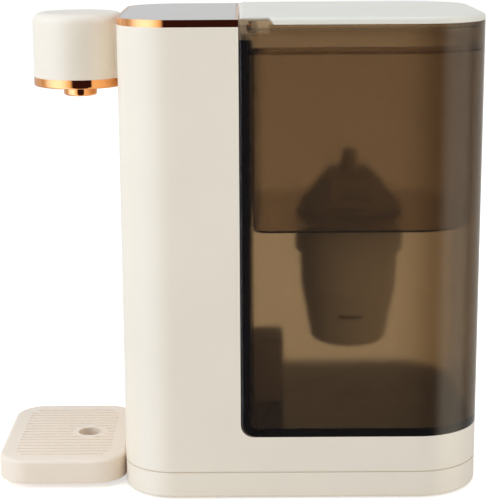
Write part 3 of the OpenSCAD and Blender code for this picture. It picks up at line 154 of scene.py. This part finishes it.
def smoke(name, roughness, skin, absorption, density, haze):
    """Tinted see-through plastic with a frosted, faintly hazy skin; its depth holds most of the tint."""
    shader = Shader(name)
    surface = shader.surface
    surface.inputs["Base Color"].default_value = (*skin, 1.0)
    surface.inputs["Transmission Weight"].default_value = 1.0 - haze
    surface.inputs["IOR"].default_value = PLASTIC_IOR
    surface.inputs["Specular Tint"].default_value = (*SMOKE_GLOSS, 1.0)
    frost = shader.noise(FROST_SCALE, 4.0)
    shader.link(shader.ranged(frost, roughness * 0.92, roughness * 1.08), surface.inputs["Roughness"])
    shader.bump(shader.noise(RIPPLE_SCALE, 2.0), 0.008, GRAIN_DEPTH)
    depth = shader.add("ShaderNodeVolumeAbsorption")
    depth.inputs["Color"].default_value = (*absorption, 1.0)
    depth.inputs["Density"].default_value = density
    output = shader.tree.nodes["Material Output"]
    shader.link(depth.outputs["Volume"], output.inputs["Volume"])
    return shader.material


def clear(name, colour, roughness):
    """Clear plastic with faint flow marks."""
    shader = Shader(name)
    surface = shader.surface
    flow = shader.noise(FLOW_SCALE, 3.0, (1.0, 1.0, 4.0))
    shader.link(shader.tint(flow, shade(colour, 0.97), colour), surface.inputs["Base Color"])
    shader.link(shader.ranged(flow, roughness * 0.9, roughness * 1.1), surface.inputs["Roughness"])
    surface.inputs["Transmission Weight"].default_value = 1.0
    surface.inputs["IOR"].default_value = PLASTIC_IOR
    return shader.material


def panel_glass(name):
    """Dark touch glass with faint wiping marks."""
    shader = Shader(name)
    surface = shader.surface
    smear = shader.noise(SMEAR_SCALE, 6.0, (1.0, 3.0, 1.0))
    shader.link(shader.tint(smear, (0.16, 0.165, 0.17), (0.2, 0.2, 0.205)), surface.inputs["Base Color"])
    shader.link(shader.ranged(smear, 0.08, 0.14), surface.inputs["Roughness"])
    surface.inputs["Specular IOR Level"].default_value = 0.8
    surface.inputs["Coat Weight"].default_value = 1.0
    surface.inputs["Coat Roughness"].default_value = 0.04
    return shader.material


CREAM = (0.88, 0.77, 0.612)
TRAY_CREAM = (0.895, 0.75, 0.588)
LID_WHITE = (0.825, 0.764, 0.628)
ROSE = (0.95, 0.42, 0.14)
SMOKE_GLOSS = (0.88, 0.75, 0.65)

MATERIALS = {
    "cream_plastic": plastic("cream_plastic", CREAM, 0.36),
    "tray_plastic": plastic("tray_plastic", TRAY_CREAM, 0.48),
    "lid_plastic": plastic("lid_plastic", LID_WHITE, 0.4),
    "white_plastic": plastic("white_plastic", (0.745, 0.68, 0.58), 0.45),
    "brown_plastic": plastic("brown_plastic", (0.3, 0.24, 0.2), 0.45),
    "dark_plastic": plastic("dark_plastic", (0.02, 0.02, 0.022), 0.5),
    "grey_rubber": plastic("grey_rubber", (0.05, 0.05, 0.052), 0.75, grain=0.2),
    "board_green": plastic("board_green", (0.02, 0.09, 0.045), 0.4, variation=0.15),
    "carbon_black": plastic("carbon_black", (0.012, 0.012, 0.012), 0.9, grain=0.6, grain_scale=900.0),
    "rose_metal": metal("rose_metal", ROSE, 0.05),
    "screw_steel": metal("screw_steel", (0.55, 0.56, 0.58), 0.3),
    "heater_steel": metal("heater_steel", (0.55, 0.56, 0.58), 0.28, stretch=(1.0, 1.0, 12.0)),
    "panel_glass": panel_glass("panel_glass"),
    "clear_plastic": clear("clear_plastic", (1.0, 1.0, 0.99), 0.05),
    "clear_silicone": clear("clear_silicone", (0.94, 0.93, 0.9), 0.35),
    "smoke_tank": smoke("smoke_tank", 0.15, (1.0, 0.92, 0.84), (0.541, 0.447, 0.276), 580.0, 0.008),
    "smoke_hopper": smoke("smoke_hopper", 0.1, (1.0, 1.0, 1.0), (0.503, 0.335, 0.135), 325.0, 0.0),
}


def paint():
    """Every piece gets the material of its slot in the record."""
    for entry in frame["record"]["subparts"]:
        mesh = nodes[entry["node"]].data
        mesh.materials.clear()
        mesh.materials.append(MATERIALS[entry["material_slot"]])


# Stage: a pale floor, a white surround and soft studio lamps

FLOOR_SIZE = 40.0
FLOOR_DROP = 0.0002
FLOOR_TONE = (0.87, 0.8, 0.69)
FLOOR_LIFT = 0.56
SURROUND_FILL = (0.545, 0.592, 0.685)
# The studio as reflections show it: degrees from +x towards +y, brightness, share of the warm tint
MIRROR_STOPS = (
    (-180.0, 0.245, 0.85), (-125.0, 0.28, 0.5), (-112.0, 0.3, 0.5), (-103.0, 0.22, 0.9), (-93.0, 0.32, 0.5),
    (-84.0, 0.55, 0.0), (-75.0, 0.75, 0.0), (-60.0, 0.88, 0.0), (-45.0, 0.88, 0.0), (-33.0, 0.68, 0.4),
    (-22.0, 0.4, 1.0), (-18.0, 0.3, 1.0), (-13.0, 0.0, 1.0), (32.0, 0.0, 1.0), (40.0, 0.25, 1.0),
    (50.0, 0.72, 1.0), (60.0, 0.85, 1.0), (84.0, 0.7, 1.0), (104.0, 0.2, 1.0), (180.0, 0.245, 0.85),
)
MIRROR_PEAK = 2.4
MIRROR_COOL = (0.82, 1.0, 1.5)
MIRROR_WARM = (1.04, 1.03, 0.9)
MIRROR_DARK = (0.013, 0.006, 0.009)
# Lamps can't be sampled through the smoke walls, so a bright side of the surround stands in for them
INNER_AIM = Vector((0.6, 0.65, 0.45)).normalized()
INNER_RANGE = (0.2, 2.5)
INNER_TINT = (0.97, 1.05, 1.22)
# Lamps: name, place, size, power in watts and colour; all point at the same spot
LAMP_TARGET = Vector((0.0, 0.0, 0.15))
LAMPS = (
    ("key", (0.5, -1.6, 0.9), (1.6, 1.4), 21.2, (0.755, 0.868, 1.0)),
    ("right", (1.0, 1.6, 0.8), (1.0, 1.2), 8.1, (0.832, 0.888, 1.0)),
    ("top", (0.0, 0.0, 1.8), (1.2, 1.2), 6.0, (0.785, 0.865, 1.0)),
)


def value_node(tree, operation, first, second):
    """Result of a sum, product or the like; each input is a socket or a number."""
    node = tree.nodes.new("ShaderNodeMath")
    node.operation = operation
    for socket, value in zip(node.inputs, (first, second)):
        if isinstance(value, float):
            socket.default_value = value
        else:
            tree.links.new(value, socket)
    return node.outputs["Value"]


def grey(level):
    return (level, level, level, 1.0)


def mixed(tree, factor, first, second):
    """Colour between first and second; each is a socket or a colour."""
    node = tree.nodes.new("ShaderNodeMix")
    node.data_type = "RGBA"
    tree.links.new(factor, node.inputs["Factor"])
    for name, colour in (("A", first), ("B", second)):
        socket = [entry for entry in node.inputs if entry.name == name and entry.type == "RGBA"][0]
        if isinstance(colour, tuple):
            socket.default_value = colour
        else:
            tree.links.new(colour, socket)
    return [entry for entry in node.outputs if entry.type == "RGBA"][0]


class Rays:
    """Kinds of rays as values of 0 or 1, and the direction they run in."""

    def __init__(self, tree):
        self.tree = tree
        path = tree.nodes.new("ShaderNodeLightPath").outputs
        scattered = value_node(tree, "MINIMUM", path["Diffuse Depth"], 1.0)
        straight = value_node(tree, "SUBTRACT", 1.0, scattered)
        passed = path["Is Transmission Ray"]
        not_passed = value_node(tree, "SUBTRACT", 1.0, passed)
        seen_through = value_node(tree, "MULTIPLY", passed, straight)
        self.seen = value_node(tree, "MAXIMUM", path["Is Camera Ray"], seen_through)
        self.mirrored = value_node(tree, "MULTIPLY", path["Is Glossy Ray"], not_passed)
        self.inner = value_node(tree, "MULTIPLY", passed, scattered)
        turned = tree.nodes.new("ShaderNodeVectorMath")
        turned.operation = "SCALE"
        turned.inputs["Scale"].default_value = -1.0
        tree.links.new(tree.nodes.new("ShaderNodeNewGeometry").outputs["Incoming"], turned.inputs[0])
        self.direction = turned.outputs["Vector"]

    def studio(self):
        """Colour that a mirror shows along the ray."""
        tree = self.tree
        parts = tree.nodes.new("ShaderNodeSeparateXYZ")
        tree.links.new(self.direction, parts.inputs["Vector"])
        angle = value_node(tree, "ARCTAN2", parts.outputs["Y"], parts.outputs["X"])
        turn = value_node(tree, "MULTIPLY_ADD", angle, 0.5 / math.pi)
        turn.node.inputs[2].default_value = 0.5
        ramp = tree.nodes.new("ShaderNodeValToRGB")
        tree.links.new(turn, ramp.inputs["Fac"])
        stops = ramp.color_ramp.elements
        for place, (degrees, level, warmth) in enumerate(MIRROR_STOPS):
            position = degrees / 360.0 + 0.5
            stop = stops[place] if place < 2 else stops.new(position)
            stop.position = position
            tint = Vector(MIRROR_COOL).lerp(Vector(MIRROR_WARM), warmth)
            stop.color = (*(tint * level + Vector(MIRROR_DARK)), 1.0)
        scaled = tree.nodes.new("ShaderNodeVectorMath")
        scaled.operation = "SCALE"
        scaled.inputs["Scale"].default_value = MIRROR_PEAK
        tree.links.new(ramp.outputs["Color"], scaled.inputs[0])
        return scaled.outputs["Vector"]

    def lamp_side(self):
        """Colour that lights the pieces inside the tank."""
        tree = self.tree
        along = tree.nodes.new("ShaderNodeVectorMath")
        along.operation = "DOT_PRODUCT"
        along.inputs[1].default_value = INNER_AIM
        tree.links.new(self.direction, along.inputs[0])
        share = value_node(tree, "MAXIMUM", along.outputs["Value"], 0.0)
        shaded, lit = ((*(level * tint for tint in INNER_TINT), 1.0) for level in INNER_RANGE)
        return mixed(tree, share, shaded, lit)


def make_floor():
    bpy.ops.mesh.primitive_plane_add(size=FLOOR_SIZE, location=(0.0, 0.0, -FLOOR_DROP))
    floor = bpy.context.object
    floor.name = "floor"
    material = bpy.data.materials.new("floor")
    material.use_nodes = True
    tree = material.node_tree
    tree.nodes.remove(tree.nodes["Principled BSDF"])
    rays = Rays(tree)
    matt = tree.nodes.new("ShaderNodeBsdfDiffuse")
    tree.links.new(mixed(tree, rays.mirrored, (*FLOOR_TONE, 1.0), grey(0.0)), matt.inputs["Color"])
    glow = tree.nodes.new("ShaderNodeEmission")
    seen_glow = mixed(tree, rays.seen, grey(0.0), grey(FLOOR_LIFT))
    tree.links.new(mixed(tree, rays.mirrored, seen_glow, rays.studio()), glow.inputs["Color"])
    both = tree.nodes.new("ShaderNodeAddShader")
    tree.links.new(matt.outputs["BSDF"], both.inputs[0])
    tree.links.new(glow.outputs["Emission"], both.inputs[1])
    tree.links.new(both.outputs["Shader"], tree.nodes["Material Output"].inputs["Surface"])
    floor.data.materials.append(material)


def make_surround():
    world = bpy.data.worlds.new("surround")
    bpy.context.scene.world = world
    world.use_nodes = True
    tree = world.node_tree
    rays = Rays(tree)
    colour = mixed(tree, rays.mirrored, (*SURROUND_FILL, 1.0), rays.studio())
    colour = mixed(tree, rays.inner, colour, rays.lamp_side())
    colour = mixed(tree, rays.seen, colour, grey(1.0))
    tree.links.new(colour, tree.nodes["Background"].inputs["Color"])


def make_lamp(name, place, size, power, colour):
    data = bpy.data.lights.new(name, "AREA")
    data.shape = "RECTANGLE"
    data.size = size[0]
    data.size_y = size[1]
    data.energy = power
    data.color = colour
    light = bpy.data.objects.new(name, data)
    bpy.context.scene.collection.objects.link(light)
    light.location = place
    light.rotation_euler = (LAMP_TARGET - Vector(place)).to_track_quat("-Z", "Y").to_euler()
    light.visible_glossy = False
    light.visible_camera = False
    light.visible_transmission = False


make_camera()
paint()
make_floor()
make_surround()
for settings in LAMPS:
    make_lamp(*settings)
bpy.context.scene.view_settings.view_transform = "Standard"
